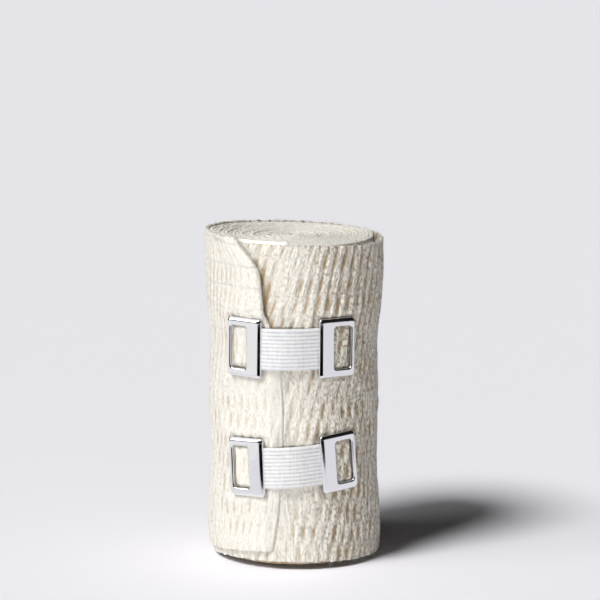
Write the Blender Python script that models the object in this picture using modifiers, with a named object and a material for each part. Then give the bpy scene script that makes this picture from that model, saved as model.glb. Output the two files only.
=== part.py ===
"""Crepe support bandage, rolled up and held by two elastic clips.

The bandage is one strip of crinkled cloth, wound round itself. Its last turn is looser than the
rest, crinkled into upright ribs, and ends at the front with its top corner turned under. Each clip
is an elastic band with a pressed metal end plate, which has a window and two teeth, at each side.

Metres, +Z up. The roll stands on the plane Z = 0 and its front looks along -Y. An azimuth is
counted from the front, towards +X. The origin is the bottom centre of the whole object's box.
"""

import math

import bmesh
import bpy
from mathutils import Matrix, Vector
from mathutils.bvhtree import BVHTree

# The cloth and its winding
STRIP_WIDTH = 0.100
CLOTH_THICKNESS = 0.0009
TURN_GAP = 0.00015
CORE_RADIUS = 0.0012
INNER_TURNS = 22
STEPS_PER_TURN = 24
STRAIGHT_TURNS = INNER_TURNS - 0.25
END_AZIMUTH = math.radians(-5.5)
PITCH = CLOTH_THICKNESS + TURN_GAP
WHOLE_ANGLE = 2 * math.pi * (INNER_TURNS + 1)

# The loose last turn
RIBS = 52
RIB_DEPTH = 0.0004
STAND_OFF = 0.00175
EDGE_SWING = 0.0020

# The free end, whose top corner is turned under
CORNER_SETBACK = 0.0149
SETBACK_ARC = math.radians(80)
FOLD_GAP = 0.0004
FOLD_RADIUS = (CLOTH_THICKNESS + FOLD_GAP) / 2
FOLD_STEPS = 4
FOLD_TAIL = 0.0020
LIFT_ARC = math.radians(36)

# The clips
CLEARANCE = 0.0003
PLATE_WIDTH = 0.0119
PLATE_HEIGHT = 0.0180
PLATE_CORNER = 0.0012
PLATE_DEPTH = 0.0016
SHEET_THICKNESS = 0.0004
EDGE_RADIUS = 0.0006
OUTER_BAR = 0.0013
WINDOW_WIDTH = 0.0057
WINDOW_HEIGHT = 0.0130
WINDOW_CORNER = 0.0009
LIP_RADIUS = 0.0004
LIP_DEPTH = 0.0009
CORNER_STEPS = 2
BAND_NOTCH = 0.0005
BAND_HEIGHT = 0.0127
BAND_THICKNESS = 0.0007
BAND_TUCK = 0.0040
BAND_STEPS = 16
TOOTH_WIDTH = 0.0012
TOOTH_THICKNESS = 0.0004
TOOTH_LENGTH = 0.0014
TOOTH_SPACING = 0.0090
SAMPLES = 9

# How the last turn lies, by the share of it that is wound. It starts under the free end, at 0.
# Columns are shares: stand_off of STAND_OFF, bottom and top (how far the strip's two edges lie
# above their level in the inner turns) of EDGE_SWING, and room (for ribs) of RIB_DEPTH.
TURN = (
    {"turn": -0.25, "stand_off": 0.00, "bottom": 0.00, "top": 0.00, "room": 0.0},
    {"turn": -0.12, "stand_off": 0.00, "bottom": 1.10, "top": 0.00, "room": 0.5},
    {"turn": 0.00, "stand_off": 0.00, "bottom": 1.25, "top": 0.00, "room": 0.5},
    {"turn": 0.05, "stand_off": 0.05, "bottom": 1.25, "top": -0.10, "room": 0.5},
    {"turn": 0.12, "stand_off": 0.50, "bottom": 1.00, "top": -0.40, "room": 0.5},
    {"turn": 0.22, "stand_off": 1.00, "bottom": 0.50, "top": -0.55, "room": 0.5},
    {"turn": 0.50, "stand_off": 0.80, "bottom": 0.15, "top": 0.10, "room": 0.5},
    {"turn": 0.75, "stand_off": 1.00, "bottom": 1.40, "top": 0.95, "room": 0.5},
    {"turn": 0.88, "stand_off": 0.60, "bottom": 2.25, "top": 0.95, "room": 0.8},
    {"turn": 0.94, "stand_off": 0.30, "bottom": 2.70, "top": 0.90, "room": 1.0},
    {"turn": 1.00, "stand_off": 0.10, "bottom": 3.05, "top": 0.85, "room": 1.0},
)

# Level sections of the last turn. Columns are shares: height of the strip's width, looseness of
# the turn's stand-off, setback of CORNER_SETBACK, lift of the fold's own room, and turned_under
# says if the section's end goes round the fold (1) or stops at it (0).
SECTIONS = (
    {"height": 0.000, "looseness": 0.50, "setback": 0.20, "lift": 0.0, "turned_under": 0},
    {"height": 0.050, "looseness": 0.65, "setback": 0.13, "lift": 0.0, "turned_under": 0},
    {"height": 0.150, "looseness": 0.52, "setback": 0.07, "lift": 0.0, "turned_under": 0},
    {"height": 0.305, "looseness": 0.00, "setback": 0.01, "lift": 0.0, "turned_under": 0},
    {"height": 0.490, "looseness": 0.28, "setback": 0.00, "lift": 0.0, "turned_under": 0},
    {"height": 0.672, "looseness": 0.00, "setback": 0.09, "lift": 0.0, "turned_under": 0},
    {"height": 0.765, "looseness": 0.55, "setback": 0.30, "lift": 0.6, "turned_under": 0},
    {"height": 0.825, "looseness": 0.85, "setback": 0.38, "lift": 1.0, "turned_under": 1},
    {"height": 0.912, "looseness": 1.00, "setback": 0.46, "lift": 1.0, "turned_under": 1},
    {"height": 0.958, "looseness": 1.00, "setback": 0.63, "lift": 1.0, "turned_under": 1},
    {"height": 1.000, "looseness": 0.95, "setback": 1.00, "lift": 1.0, "turned_under": 1},
)

# Where the end plates sit: azimuth and tilt in degrees, height as a share of STRIP_WIDTH. Side is
# the way from the clip's middle to the plate.
PLATES = {
    "upper_left": {"azimuth": -32.8, "height": 0.689, "tilt": -0.8, "side": -1},
    "upper_right": {"azimuth": 28.3, "height": 0.688, "tilt": -0.4, "side": 1},
    "lower_left": {"azimuth": -31.7, "height": 0.320, "tilt": 2.6, "side": -1},
    "lower_right": {"azimuth": 30.3, "height": 0.335, "tilt": 4.6, "side": 1},
}


def smooth(share):
    """0 up to share 0, 1 from share 1, and an S-curve between."""
    share = min(max(share, 0.0), 1.0)
    return share * share * (3 - 2 * share)


def read_off(column, place):
    """A column of TURN at a share of the last turn, eased between its rows."""
    if place <= TURN[0]["turn"]:
        return TURN[0][column]
    for low, high in zip(TURN, TURN[1:]):
        if place <= high["turn"]:
            ease = smooth((place - low["turn"]) / (high["turn"] - low["turn"]))
            return low[column] + (high[column] - low[column]) * ease
    return TURN[-1][column]


def outward(azimuth):
    return Vector((math.sin(azimuth), -math.cos(azimuth), 0))


def onward(azimuth):
    return Vector((math.cos(azimuth), math.sin(azimuth), 0))


def azimuth_of(angle):
    """Azimuth of an angle that is wound up from the core, so that the last one ends in front."""
    return END_AZIMUTH - (WHOLE_ANGLE - angle)


def turn_of(angle):
    return angle / (2 * math.pi) - INNER_TURNS


def rib_offset(angle, column):
    """Ribs are a zigzag of the columns, which fades in before the turn and out along the flap."""
    fade_in = smooth((turn_of(angle) + 0.12) / 0.08)
    fade_out = smooth((WHOLE_ANGLE - angle) / SETBACK_ARC)
    return RIB_DEPTH / 2 * min(fade_in, fade_out) * (1 if column % 2 else -1)


def lift_at(angle, section):
    return 2 * FOLD_RADIUS * section["lift"] * smooth(1 - (WHOLE_ANGLE - angle) / LIFT_ARC)


def set_back(angle, section):
    """The angle after the free end's outline has pulled the flap back."""
    share = smooth(1 - (WHOLE_ANGLE - angle) / SETBACK_ARC)
    flap_radius = CORE_RADIUS + PITCH * (INNER_TURNS + 1)
    return angle - CORNER_SETBACK * section["setback"] / flap_radius * share


def cloth_point(angle, section, column=0):
    """Middle of the cloth at an angle along the strip and at one level section."""
    pulled = set_back(angle, section)
    turn = turn_of(pulled)
    radius = CORE_RADIUS + PITCH * pulled / (2 * math.pi)
    radius += RIB_DEPTH * read_off("room", turn_of(angle)) + rib_offset(angle, column)
    radius += STAND_OFF * read_off("stand_off", turn) * section["looseness"]
    radius += lift_at(angle, section)
    bottom = EDGE_SWING * read_off("bottom", turn)
    top = STRIP_WIDTH + EDGE_SWING * read_off("top", turn)
    height = bottom + (top - bottom) * section["height"]
    return outward(azimuth_of(pulled)) * radius + Vector((0, 0, height))


def fold_point(step, section):
    """Middle of the cloth past the free end's outline: a little on, or round the fold and back."""
    azimuth = azimuth_of(set_back(WHOLE_ANGLE, section))
    edge = cloth_point(WHOLE_ANGLE, section)
    if not section["turned_under"]:
        return edge + onward(azimuth) * FOLD_RADIUS * step / FOLD_STEPS
    turned = math.pi * min(step / FOLD_STEPS, 1)
    tail = FOLD_TAIL * max(step - FOLD_STEPS, 0)
    drop = FOLD_RADIUS * (1 - math.cos(turned))
    return edge + onward(azimuth) * (FOLD_RADIUS * math.sin(turned) - tail) - outward(azimuth) * drop


def material(name, colour, roughness, metallic=0.0):
    made = bpy.data.materials.new(name)
    made.use_nodes = True
    shader = made.node_tree.nodes["Principled BSDF"]
    shader.inputs["Base Color"].default_value = (*colour, 1)
    shader.inputs["Roughness"].default_value = roughness
    shader.inputs["Metallic"].default_value = metallic
    return made


def part(name, mesh, look, collection, outside=None):
    """A named object of a bmesh. For a sheet, outside gives the way out at a face's centre."""
    bmesh.ops.recalc_face_normals(mesh, faces=mesh.faces)
    if outside:
        areas = [face.normal.dot(outside(face.calc_center_median())) for face in mesh.faces]
        if sum(areas) < 0:
            bmesh.ops.reverse_faces(mesh, faces=mesh.faces)
    data = bpy.data.meshes.new(name)
    mesh.to_mesh(data)
    mesh.free()
    data.materials.append(look)
    made = bpy.data.objects.new(name, data)
    collection.objects.link(made)
    return made


def thicken(item, thickness, offset):
    """The Solidify modifier, outward for offset 1, inward for -1 and both ways for 0."""
    shell = item.modifiers.new("thickness", "SOLIDIFY")
    shell.thickness = thickness
    shell.offset = offset


def wound_strip(look, collection):
    """A flat grid of columns and sections, rolled up by cloth_point and then given thickness."""
    straight = round(STRAIGHT_TURNS * STEPS_PER_TURN)
    ribbed = round((INNER_TURNS + 1 - STRAIGHT_TURNS) * RIBS * 2)
    angles = [2 * math.pi * step / STEPS_PER_TURN for step in range(straight)]
    angles += [2 * math.pi * (STRAIGHT_TURNS + step / (RIBS * 2)) for step in range(ribbed + 1)]
    columns = len(angles) + FOLD_STEPS + 1
    mesh = bmesh.new()
    grid = bmesh.ops.create_grid(
        mesh, x_segments=columns - 1, y_segments=len(SECTIONS) - 1, size=1
    )
    column_of = {}
    row_of = {}
    for vertex in grid["verts"]:
        column = round((vertex.co.x + 1) / 2 * (columns - 1))
        row = round((vertex.co.y + 1) / 2 * (len(SECTIONS) - 1))
        column_of[vertex] = column
        row_of[vertex] = row
        if column < len(angles):
            vertex.co = cloth_point(angles[column], SECTIONS[row], column)
        else:
            vertex.co = fold_point(column - len(angles) + 1, SECTIONS[row])
    last_row = len(SECTIONS) - 1
    level_edges = []
    for edge in mesh.edges:
        first, second = edge.verts
        level = row_of[first] == row_of[second] and 0 < row_of[first] < last_row
        if level and max(column_of[first], column_of[second]) <= straight:
            level_edges.append(edge)
    bmesh.ops.dissolve_edges(mesh, edges=level_edges, use_verts=True)
    strip = part("bandage_strip", mesh, look, collection)
    thicken(strip, CLOTH_THICKNESS, 0)
    return strip


def rounded_rectangle(mesh, width, height, corner, centre, depth):
    """A closed loop of vertices. Depth may be a function of the vertex's place across."""
    loop = []
    for quarter, (right, up) in enumerate(((1, 1), (-1, 1), (-1, -1), (1, -1))):
        for step in range(CORNER_STEPS + 1):
            turned = math.pi / 2 * (quarter + step / CORNER_STEPS)
            across = right * (width / 2 - corner) + corner * math.cos(turned)
            upward = up * (height / 2 - corner) + corner * math.sin(turned)
            loop.append(mesh.verts.new((centre + across, upward, depth(across))))
    return loop


def plate_mesh(side):
    """Outer face of an end plate: rim, bevel, flat face round the window, and the window's lip."""
    mesh = bmesh.new()
    window_centre = side * (PLATE_WIDTH / 2 - OUTER_BAR - WINDOW_WIDTH / 2)
    half_bevel = EDGE_RADIUS * (1 - math.sqrt(0.5))
    half_lip = LIP_RADIUS * (1 - math.sqrt(0.5))

    def rim_foot(across):
        return BAND_NOTCH if across * side < -PLATE_WIDTH / 4 else 0.0

    outline = (
        (0.0, rim_foot),
        (0.0, lambda across: PLATE_DEPTH - EDGE_RADIUS),
        (half_bevel, lambda across: PLATE_DEPTH - half_bevel),
        (EDGE_RADIUS, lambda across: PLATE_DEPTH),
    )
    lip = (
        (LIP_RADIUS, lambda across: PLATE_DEPTH),
        (half_lip, lambda across: PLATE_DEPTH - half_lip),
        (0.0, lambda across: PLATE_DEPTH - LIP_DEPTH),
    )
    loops = []
    for inset, depth in outline:
        corner = PLATE_CORNER - inset / 2
        size = (PLATE_WIDTH - 2 * inset, PLATE_HEIGHT - 2 * inset)
        loops.append(rounded_rectangle(mesh, *size, corner, 0, depth))
    for outset, depth in lip:
        size = (WINDOW_WIDTH + 2 * outset, WINDOW_HEIGHT + 2 * outset)
        corner = WINDOW_CORNER + outset / 2
        loops.append(rounded_rectangle(mesh, *size, corner, window_centre, depth))
    for lower, upper in zip(loops, loops[1:]):
        for index, corner in enumerate(lower):
            mesh.faces.new((lower[index - 1], corner, upper[index], upper[index - 1]))
    return mesh


def tooth_mesh(side, upward):
    """A flat point that starts in the rim of the outer bar and looks along the cloth."""
    mesh = bmesh.new()
    bmesh.ops.create_cone(
        mesh, cap_ends=True, segments=4, radius1=math.sqrt(0.5), radius2=0.1, depth=1
    )
    lay_flat = Matrix.Rotation(math.radians(45), 4, "Z")
    scaled = Matrix.Diagonal((TOOTH_THICKNESS, TOOTH_WIDTH, TOOTH_LENGTH, 1))
    pointed = Matrix.Rotation(math.radians(-90 * side), 4, "Y")
    base = side * (PLATE_WIDTH / 2 - SHEET_THICKNESS / 2 - TOOTH_LENGTH / 2)
    placed = Matrix.Translation((base, upward, TOOTH_THICKNESS))
    bmesh.ops.transform(mesh, matrix=placed @ pointed @ scaled @ lay_flat, verts=mesh.verts)
    return mesh


def surface_of(item):
    return BVHTree.FromObject(item, bpy.context.evaluated_depsgraph_get())


def spread(length):
    """Even places from one end of a length to the other, about its middle."""
    return [length * (step / (SAMPLES - 1) - 0.5) for step in range(SAMPLES)]


def plate_place(plate, surface):
    """Matrix that sets a plate on the cloth, flat, with CLEARANCE at the cloth's highest point."""
    azimuth = math.radians(plate["azimuth"])
    normal = outward(azimuth)
    axes = Matrix((onward(azimuth), Vector((0, 0, 1)), normal)).transposed().to_4x4()
    turned = axes @ Matrix.Rotation(math.radians(plate["tilt"]), 4, "Z")
    far = normal * STRIP_WIDTH + Vector((0, 0, plate["height"] * STRIP_WIDTH))
    reach = 0.0
    for across in spread(PLATE_WIDTH):
        for up in spread(PLATE_HEIGHT):
            sample = turned.to_3x3() @ Vector((across, up, 0))
            hit = surface.ray_cast(far + sample, -normal)[0]
            reach = max(reach, hit.dot(normal))
    stand = normal * (reach + CLEARANCE) + Vector((0, 0, plate["height"] * STRIP_WIDTH))
    return Matrix.Translation(stand) @ turned


def end_plate(name, plate, surface, look, collection):
    sheet = plate_mesh(plate["side"])
    made = part(name + "_end_plate", sheet, look, collection, lambda place: Vector((0, 0, 1)))
    thicken(made, SHEET_THICKNESS, -1)
    for upward in (-TOOTH_SPACING / 2, TOOTH_SPACING / 2):
        tooth = part(name + "_tooth", tooth_mesh(plate["side"], upward), look, cutters())
        tooth.hide_render = True
        tooth.display_type = "WIRE"
        fuse = made.modifiers.new("tooth", "BOOLEAN")
        fuse.operation = "UNION"
        fuse.solver = "EXACT"
        fuse.object = tooth
        tooth.matrix_world = plate_place(plate, surface)
    made.matrix_world = plate_place(plate, surface)
    return made


def cutters():
    """The collection of the helper bodies that Boolean modifiers read."""
    if "cutters" not in bpy.data.collections:
        bpy.context.scene.collection.children.link(bpy.data.collections.new("cutters"))
    return bpy.data.collections["cutters"]


def elastic_band(name, left, right, surface, look, collection):
    """A band stretched over the cloth, from under one plate's wide bar to under the other's."""
    radius = CORE_RADIUS + PITCH * (INNER_TURNS + 1)
    under = (PLATE_WIDTH / 2 - BAND_TUCK) / radius
    start = math.radians(left["azimuth"]) + under
    arc = math.radians(right["azimuth"]) - under - start
    reaches = []
    for step in range(-2, BAND_STEPS + 3):
        azimuth = start + arc * step / BAND_STEPS
        height = left["height"] + (right["height"] - left["height"]) * step / BAND_STEPS
        far = outward(azimuth) * STRIP_WIDTH + Vector((0, 0, height * STRIP_WIDTH))
        starts = [far + Vector((0, 0, up)) for up in spread(BAND_HEIGHT)]
        hits = [surface.ray_cast(place, -outward(azimuth))[0] for place in starts]
        reaches.append(max(hit.dot(outward(azimuth)) for hit in hits))
    mesh = bmesh.new()
    grid = bmesh.ops.create_grid(mesh, x_segments=BAND_STEPS, y_segments=1, size=1)
    for vertex in grid["verts"]:
        share = (vertex.co.x + 1) / 2
        step = round(share * BAND_STEPS)
        azimuth = start + arc * share
        height = left["height"] + (right["height"] - left["height"]) * share
        level = height * STRIP_WIDTH + vertex.co.y * BAND_HEIGHT / 2
        vertex.co = outward(azimuth) * (max(reaches[step : step + 5]) + CLEARANCE)
        vertex.co.z = level
    made = part(name + "_elastic_band", mesh, look, collection, lambda place: place)
    thicken(made, BAND_THICKNESS, 1)
    return made


def centre(items):
    """Moves everything so that the origin is the bottom centre of the box round all parts."""
    graph = bpy.context.evaluated_depsgraph_get()
    low = Vector((math.inf, math.inf, math.inf))
    high = -low
    for item in items:
        shape = item.evaluated_get(graph).to_mesh()
        for vertex in shape.vertices:
            place = item.matrix_world @ vertex.co
            low = Vector(map(min, low, place))
            high = Vector(map(max, high, place))
        item.evaluated_get(graph).to_mesh_clear()
    shift = Matrix.Translation((-(low.x + high.x) / 2, -(low.y + high.y) / 2, -low.z))
    for item in [*items, *cutters().objects]:
        item.matrix_world = shift @ item.matrix_world


def build():
    for item in list(bpy.data.objects):
        bpy.data.objects.remove(item)
    collection = bpy.data.collections.new("support_bandage")
    bpy.context.scene.collection.children.link(collection)
    cloth = material("crepe_cloth", (0.86, 0.80, 0.70), 0.95)
    elastic = material("white_elastic", (0.90, 0.90, 0.88), 0.80)
    metal = material("plated_metal", (0.80, 0.80, 0.82), 0.15, 1.0)
    strip = wound_strip(cloth, collection)
    surface = surface_of(strip)
    items = [strip]
    for name in ("upper", "lower"):
        left = PLATES[name + "_left"]
        right = PLATES[name + "_right"]
        items.append(elastic_band(name, left, right, surface, elastic, collection))
        items.append(end_plate(name + "_left", left, surface, metal, collection))
        items.append(end_plate(name + "_right", right, surface, metal, collection))
    centre(items)


build()
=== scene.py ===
"""Rolled crepe bandage held by two elastic clips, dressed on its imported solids.

Metres, +Z up, front towards -Y. An azimuth is counted from the front, towards +X. Every piece is a
surface worked out on a grid of two parameters: along the wound strip and across it, along a band
and across it, or round a plate's outline and in from its rim.
"""

import math

import bpy
import numpy as np
from bpy.props import FloatProperty, FloatVectorProperty, IntProperty, PointerProperty
from bpy.types import Operator, Panel, PropertyGroup
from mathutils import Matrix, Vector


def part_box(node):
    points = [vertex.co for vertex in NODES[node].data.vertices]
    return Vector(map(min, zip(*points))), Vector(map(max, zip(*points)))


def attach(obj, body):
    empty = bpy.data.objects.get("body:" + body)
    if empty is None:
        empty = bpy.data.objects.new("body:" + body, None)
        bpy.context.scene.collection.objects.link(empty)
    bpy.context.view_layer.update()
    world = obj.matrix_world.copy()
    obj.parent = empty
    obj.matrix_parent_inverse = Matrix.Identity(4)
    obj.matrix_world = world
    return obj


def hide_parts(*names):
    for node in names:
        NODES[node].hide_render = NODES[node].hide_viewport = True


bl_info = {
    "name": "Support bandage",
    "version": (1, 0, 0),
    "blender": (4, 5, 0),
    "location": "3D View > Sidebar > Bandage",
    "description": "Builds a rolled crepe bandage with two elastic clips and a plain studio",
    "category": "Object",
}

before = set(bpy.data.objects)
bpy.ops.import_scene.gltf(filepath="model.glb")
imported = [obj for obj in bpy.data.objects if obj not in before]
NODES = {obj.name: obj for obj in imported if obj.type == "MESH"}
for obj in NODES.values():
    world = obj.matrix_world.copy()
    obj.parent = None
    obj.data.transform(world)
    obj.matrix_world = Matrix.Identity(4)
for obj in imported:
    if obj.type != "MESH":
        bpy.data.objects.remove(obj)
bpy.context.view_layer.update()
BODY = "root"
TAU = 2 * math.pi

# How the last turn lies, by the share of it that is wound, as in the solids. Columns are shares:
# stand_off of the turn's stand-off, bottom and top of the edge's swing, room of the rib room,
# relief of the crinkle's depth.
TURN = {
    "turn": (-0.25, -0.12, 0.0, 0.05, 0.12, 0.22, 0.5, 0.75, 0.88, 0.94, 1.0),
    "stand_off": (0.0, 0.0, 0.0, 0.05, 0.5, 1.0, 0.8, 1.0, 0.6, 0.3, 0.1),
    "bottom": (0.0, 1.1, 1.25, 1.25, 1.0, 0.5, 0.15, 1.4, 2.25, 2.7, 3.05),
    "top": (0.0, 0.0, 0.0, -0.1, -0.4, -0.55, 0.1, 0.95, 0.95, 0.9, 0.85),
    "room": (0.0, 0.5, 0.5, 0.5, 0.5, 0.5, 0.5, 0.5, 0.8, 1.0, 1.0),
    "relief": (0.3, 0.6, 0.65, 0.8, 1.15, 1.0, 0.9, 0.65, 0.55, 0.5, 0.45),
}

# Level sections of the last turn, by the share of the strip's width. Looseness is a share of the
# turn's stand-off, setback of the corner's setback, lift of the fold's room, and fold is how far
# the end is turned under.
SECTIONS = {
    "height": (0.0, 0.05, 0.15, 0.24, 0.305, 0.37, 0.49, 0.61, 0.672,
               0.72, 0.76, 0.8, 0.87, 0.905, 0.935, 0.965, 1.0),
    "looseness": (0.5, 0.65, 0.52, 0.16, 0.03, 0.1, 0.28, 0.11, 0.05,
                  0.2, 0.5, 0.72, 0.93, 1.0, 1.0, 0.98, 0.95),
    "setback": (0.24, 0.2, 0.11, 0.06, 0.04, 0.03, 0.04, 0.09, 0.14,
                0.29, 0.41, 0.45, 0.5, 0.55, 0.68, 0.86, 1.06),
    "lift": (0.0, 0.0, 0.0, 0.0, 0.0, 0.0, 0.0, 0.0, 0.1, 0.5, 0.9, 1.0, 1.0, 1.0, 1.0, 1.0, 1.0),
    "fold": (0.0, 0.0, 0.0, 0.0, 0.0, 0.0, 0.0, 0.0, 0.0, 0.3, 0.8, 1.0, 1.0, 1.0, 1.0, 1.0, 1.0),
}

# The end plates: azimuth and tilt in degrees, height of the centre, and the side of the clip.
PLATES = (
    {"name": "upper_left", "azimuth": -32.8, "height": 0.0689, "tilt": -0.8, "side": -1},
    {"name": "upper_right", "azimuth": 28.3, "height": 0.0688, "tilt": -0.4, "side": 1},
    {"name": "lower_left", "azimuth": -31.7, "height": 0.0320, "tilt": 2.6, "side": -1},
    {"name": "lower_right", "azimuth": 30.3, "height": 0.0335, "tilt": 4.6, "side": 1},
)


class ClothSettings(PropertyGroup):
    """The crepe strip, its winding and its crinkles"""

    width: FloatProperty(name="Strip width", description="Width of the cloth", default=0.100, unit="LENGTH")
    thickness: FloatProperty(name="Thickness", description="Of the cloth", default=0.0009, unit="LENGTH")
    gap: FloatProperty(name="Turn gap", description="Air between two turns", default=0.00015, unit="LENGTH")
    core: FloatProperty(name="Core radius", description="Of the first turn", default=0.0012, unit="LENGTH")
    turns: IntProperty(name="Inner turns", description="Turns below the last one", default=22)
    end_azimuth: FloatProperty(
        name="End", description="Azimuth of the free end", default=math.radians(-5.5), subtype="ANGLE"
    )
    stand_off: FloatProperty(
        name="Stand-off", description="How far the last turn stands off", default=0.00175, unit="LENGTH"
    )
    swing: FloatProperty(
        name="Edge swing", description="How far the last turn's edges wander", default=0.0020, unit="LENGTH"
    )
    setback: FloatProperty(
        name="Corner setback", description="How far the turned corner lies back", default=0.0149, unit="LENGTH"
    )
    rib_room: FloatProperty(name="Rib room", description="For the ribs", default=0.0004, unit="LENGTH")
    ribs: IntProperty(name="Ribs", description="Crinkle ribs round one turn", default=50)
    row: FloatProperty(name="Row", description="Height of a row of crinkles", default=0.0066, unit="LENGTH")
    crinkle: FloatProperty(
        name="Crinkle depth", description="From a rib's crest to its valley", default=0.00075, unit="LENGTH"
    )
    thread: FloatProperty(name="Thread", description="Pitch of the threads", default=0.00072, unit="LENGTH")
    crest: FloatVectorProperty(
        name="Crest colour", description="Of the raised cloth", default=(0.69, 0.665, 0.605), subtype="COLOR"
    )
    # The valley colour is painted shade: the darker brown laid between the crepe's ribs, in the holes between
    # its threads, and towards the bottom of the inner turns.
    hollow: FloatVectorProperty(
        name="Valley colour", description="Between the ribs", default=(0.34, 0.25, 0.145), subtype="COLOR"
    )


class ClipSettings(PropertyGroup):
    """The end plates and the elastic bands"""

    plate_width: FloatProperty(name="Plate width", description="Across a clip", default=0.0119, unit="LENGTH")
    plate_height: FloatProperty(name="Plate height", description="Upright", default=0.0180, unit="LENGTH")
    plate_depth: FloatProperty(name="Plate depth", description="Face to rim", default=0.0016, unit="LENGTH")
    sheet: FloatProperty(name="Sheet", description="Thickness of the metal", default=0.0004, unit="LENGTH")
    bevel: FloatProperty(name="Bevel", description="Of the rounded edges", default=0.00125, unit="LENGTH")
    outer_bevel: FloatProperty(
        name="Outer bevel", description="Roundness of the narrow bar's edge", default=0.0005, unit="LENGTH"
    )
    corner: FloatProperty(name="Corner", description="Radius of the corners", default=0.0011, unit="LENGTH")
    outer_bar: FloatProperty(name="Outer bar", description="Of the narrow bar", default=0.0013, unit="LENGTH")
    window_width: FloatProperty(name="Window width", description="Across", default=0.0057, unit="LENGTH")
    window_height: FloatProperty(name="Window height", description="Upright", default=0.0130, unit="LENGTH")
    window_corner: FloatProperty(name="Window corner", description="Radius", default=0.0010, unit="LENGTH")
    lip: FloatProperty(name="Lip", description="Window's round edge", default=0.0005, unit="LENGTH")
    lip_depth: FloatProperty(name="Lip depth", description="Of the lip", default=0.0010, unit="LENGTH")
    band_ribs: IntProperty(name="Elastic ribs", description="Ribs across a band", default=11)
    band_rib_depth: FloatProperty(
        name="Elastic rib depth", description="Depth of a rib", default=0.00014, unit="LENGTH"
    )
    metal: FloatVectorProperty(
        name="Metal colour", description="Colour of the plating", default=(0.86, 0.86, 0.88), subtype="COLOR"
    )
    elastic: FloatVectorProperty(
        name="Elastic colour", description="Colour of the bands", default=(0.61, 0.61, 0.61), subtype="COLOR"
    )


class StageSettings(PropertyGroup):
    """The floor, the lights and the camera"""

    floor: FloatVectorProperty(
        name="Floor colour", description="Colour of the paper", default=(0.90, 0.89, 0.93), subtype="COLOR"
    )
    key: FloatProperty(name="Key light", description="Strength of the high light", default=3.1)
    side: FloatProperty(name="Side light", description="Strength of the left light", default=0.62)
    strip: FloatProperty(name="Strip light", description="Of the low front light", default=2.15, unit="POWER")
    distance: FloatProperty(name="Distance", description="Camera to the axis", default=0.7751, unit="LENGTH")
    height: FloatProperty(name="Camera height", description="Above the floor", default=0.2131, unit="LENGTH")
    sideways: FloatProperty(name="Camera offset", description="To the right", default=0.00166, unit="LENGTH")
    pitch: FloatProperty(
        name="Pitch", description="How far the camera looks down", default=math.radians(9.795), subtype="ANGLE"
    )
    lens: FloatProperty(name="Lens", description="Focal length on a 36 mm sensor", default=152.9)


def smooth(share):
    """0 below share 0, 1 above share 1, and an S-curve between."""
    share = np.clip(share, 0.0, 1.0)
    return share * share * (3 - 2 * share)


def curve_through(table, column, places):
    """A table's column over its first one: cubic pieces with the slope at each place the mean of the
    slopes beside it."""
    keys, values = np.array(next(iter(table.values()))), np.array(table[column])
    chords = np.diff(values) / np.diff(keys)
    slopes = np.concatenate((chords[:1], (chords[1:] + chords[:-1]) / 2, chords[-1:]))
    places = np.clip(places, keys[0], keys[-1])
    low = np.clip(np.searchsorted(keys, places, side="right") - 1, 0, len(keys) - 2)
    span = keys[low + 1] - keys[low]
    t = (places - keys[low]) / span
    start = (1 + 2 * t) * (1 - t) ** 2 * values[low] + t * (1 - t) ** 2 * span * slopes[low]
    end = t * t * (3 - 2 * t) * values[low + 1] + t * t * (t - 1) * span * slopes[low + 1]
    return start + end


def ripple(u, v, seed):
    """Smooth noise from 0 to 1: random values on a lattice of unit cells, eased between them."""
    lattice = np.random.default_rng(seed).random((97, 97))
    u, v = np.broadcast_arrays(np.asarray(u, float), np.asarray(v, float))
    column = np.floor(u).astype(int)
    row = np.floor(v).astype(int)
    across = smooth(u - column)
    up = smooth(v - row)
    corners = [lattice[(column + i) % 97, (row + j) % 97] for i in (0, 1) for j in (0, 1)]
    left = corners[0] * (1 - up) + corners[1] * up
    right = corners[2] * (1 - up) + corners[3] * up
    return left * (1 - across) + right * across


def outward(azimuth):
    """The level direction out of the roll at an azimuth."""
    return np.stack((np.sin(azimuth), -np.cos(azimuth), np.zeros_like(azimuth)), axis=-1)


def onward(azimuth):
    """The level direction round the roll at an azimuth."""
    return np.stack((np.cos(azimuth), np.sin(azimuth), np.zeros_like(azimuth)), axis=-1)


# The arcs over which the free end's setback and lift fade, the fold's radius and tail, the roll's
# radius at the clips and the elastic's knit. The last turn starts LAST_TURNS before the free end and
# has fine stations for SHOWN_TURNS. OUTER_WALL is its outer rows, inner rows and rim steps.
SETBACK_ARC = math.radians(80)
LIFT_ARC = math.radians(36)
FOLD_RADIUS = 0.00065
FOLD_TAIL = 0.0020
CLIP_RADIUS = 0.026
KNIT_PITCH = 0.00062
LAST_TURNS = 1.25
SHOWN_TURNS = 1.1
OUTER_WALL = (152, 24, 4)


def whole_angle(cloth):
    """The angle wound from the core to the free end."""
    return TAU * (cloth.turns + 1)


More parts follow.
